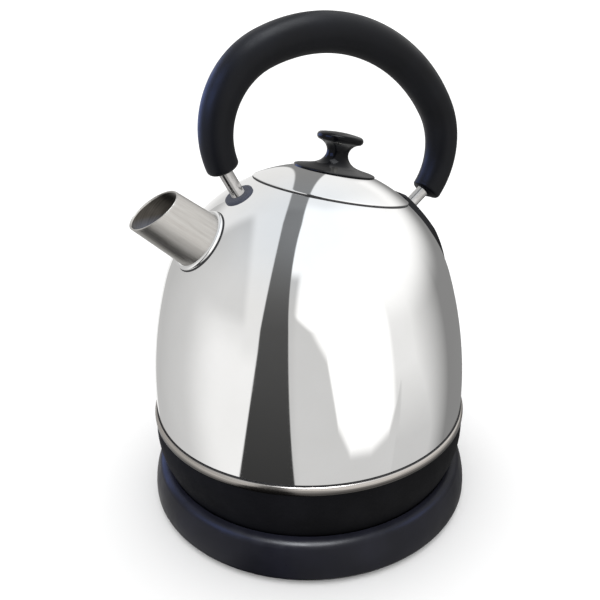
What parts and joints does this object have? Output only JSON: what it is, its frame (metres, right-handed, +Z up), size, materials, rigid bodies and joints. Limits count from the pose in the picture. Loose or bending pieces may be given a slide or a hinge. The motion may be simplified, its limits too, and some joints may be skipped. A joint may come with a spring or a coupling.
{
  "type": "electric kettle",
  "caption": "Cordless electric kettle: domed polished steel body, arched handle on two posts, short mitred spout, lift-off knobbed lid and a round swivel power base.",
  "frame": {"origin": "on the swivel axis at table level, under the middle of the power base", "axes": "+Z up; -X towards the spout; +X towards the water gauge, switch and cord inlet; the handle lies in the XZ plane"},
  "size_m": [0.1972, 0.1926, 0.2714],
  "materials": {
    "satin_black": "satin moulded",
    "underside_black": "fine textured",
    "skirt_black": "matt moulded",
    "socket_black": "matt moulded",
    "grip_black": "soft-touch satin",
    "gloss_black": "gloss moulded",
    "gauge_black": "semi-gloss moulded",
    "gauge_clear": "smoked clear",
    "ivory_plastic": "satin moulded",
    "lamp_amber": "clear tinted",
    "foot_rubber": "matt",
    "washer_rubber": "satin",
    "gasket_rubber": "matt",
    "silicone": "translucent white, satin",
    "plated_screws": "zinc plated",
    "contact_brass": "bright",
    "element_aluminium": "as cast",
    "brushed_steel": "fine brushed",
    "spout_steel": "satin, lightly brushed lengthwise",
    "polished_steel": "mirror polished stainless",
    "rim_steel": "dark polished"
  },
  "bodies": {
    "power_base": {"base_cover": "satin_black", "base_plate": "underside_black", "base_feet": "foot_rubber", "base_screws": "plated_screws", "cord_gland": "underside_black", "base_socket": "socket_black", "socket_contacts": "contact_brass", "socket_spring": "plated_screws"},
    "shutter": {"socket_shutter": "ivory_plastic"},
    "kettle": {"skirt": "skirt_black", "bottom_cover": "underside_black", "bottom_screws": "plated_screws", "floor_studs": "plated_screws", "connector_body": "socket_black", "connector_pins": "contact_brass", "control_unit": "ivory_plastic", "control_screws": "plated_screws", "bimetal_discs": "contact_brass", "heating_element": "element_aluminium", "heat_plate": "element_aluminium", "vessel_floor": "brushed_steel", "rim_ring": "rim_steel", "rim_gasket": "gasket_rubber", "body_shell": "polished_steel", "lid_seat": "brushed_steel", "steam_tube": "brushed_steel", "tube_seal": "silicone", "gauge_frame": "gauge_black", "gauge_window": "gauge_clear", "gauge_seal": "silicone", "spout": "spout_steel", "spout_collar": "polished_steel", "spout_filter": "brushed_steel", "handle_posts": "polished_steel", "handle_grip": "grip_black", "front_washer": "washer_rubber", "inner_washers": "plated_screws", "post_nuts": "plated_screws", "pilot_lamp": "lamp_amber", "switch_pin": "plated_screws"},
    "switch": {"switch_paddle": "gloss_black", "trip_lever": "ivory_plastic"},
    "lid": {"lid_cap": "polished_steel", "lid_liner": "brushed_steel", "lid_seal": "silicone", "lid_knob": "gloss_black", "knob_screw": "plated_screws"}
  },
  "joints": [
    {"name": "kettle_swivel", "type": "hinge", "parent": "power_base", "child": "shutter", "pos_m": [0, 0, 0.02], "axis": [0, 0, 1], "continuous": true},
    {"name": "kettle_lift", "type": "slide", "parent": "shutter", "child": "kettle", "axis": [0, 0, 1], "range_m": [0, 0.09]},
    {"name": "lid_lift", "type": "slide", "parent": "kettle", "child": "lid", "axis": [0.213, 0, 0.977], "range_m": [0, 0.035]},
    {"name": "switch_press", "type": "hinge", "parent": "kettle", "child": "switch", "pos_m": [0.083, 0, 0.038], "axis": [0, 1, 0], "range_deg": [0, 12]}
  ]
}
